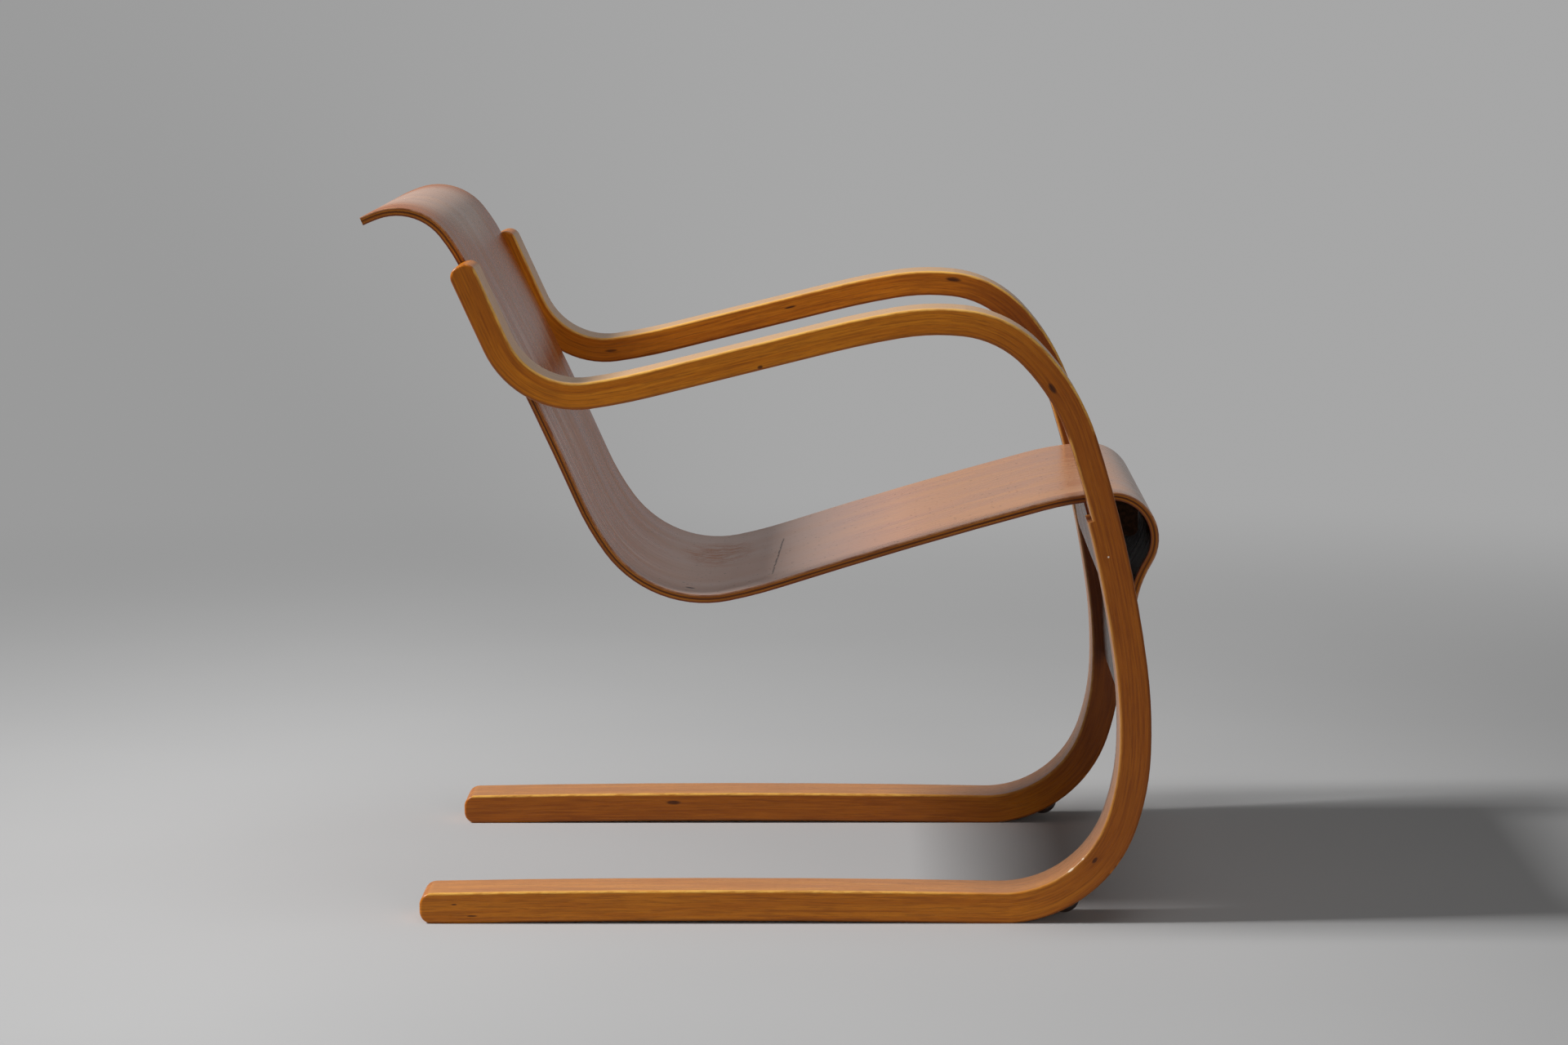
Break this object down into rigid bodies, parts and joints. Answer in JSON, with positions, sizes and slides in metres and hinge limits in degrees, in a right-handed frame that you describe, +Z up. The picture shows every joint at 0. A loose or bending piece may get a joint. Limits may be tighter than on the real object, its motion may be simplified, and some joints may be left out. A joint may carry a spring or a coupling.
{
  "type": "lounge chair",
  "caption": "Low lounge chair with looped bent-wood side frames that spring from floor runners, and a hung bent-plywood seat rolled at head and front.",
  "frame": {"origin": "on the floor, midway between the side frames and midway along the overall depth", "axes": "+X to the front, +Y to the sitter's left, +Z up"},
  "size_m": [0.7613, 0.6, 0.6793],
  "materials": {
    "lacquered_birch": "satin clear lacquer, honey amber",
    "face_veneer": "satin lacquer, red-brown, worn",
    "core_veneer": "cut edge of veneer",
    "cross_veneer": "cut edge of cross-laid veneer",
    "rail_wood": "dark stain",
    "dowel_beech": "plain",
    "screw_steel": "plain",
    "glide_rubber": "matt dark brown"
  },
  "bodies": {
    "root": {"right_lamella_1": "lacquered_birch", "right_lamella_2": "lacquered_birch", "right_lamella_3": "lacquered_birch", "right_lamella_4": "lacquered_birch", "right_lamella_5": "lacquered_birch", "right_leg_lamella": "lacquered_birch", "left_lamella_1": "lacquered_birch", "left_lamella_2": "lacquered_birch", "left_lamella_3": "lacquered_birch", "left_lamella_4": "lacquered_birch", "left_lamella_5": "lacquered_birch", "left_leg_lamella": "lacquered_birch", "seat_face_ply": "face_veneer", "seat_upper_ply": "core_veneer", "seat_centre_ply": "cross_veneer", "seat_lower_ply": "core_veneer", "seat_under_ply": "face_veneer", "rear_brace": "face_veneer", "front_rail": "rail_wood", "front_rail_dowels": "dowel_beech", "front_rail_screws": "screw_steel", "back_rail": "rail_wood", "back_rail_dowels": "dowel_beech", "back_rail_screws": "screw_steel", "right_glide": "glide_rubber", "left_glide": "glide_rubber", "glide_nails": "screw_steel"}
  },
  "joints": []
}
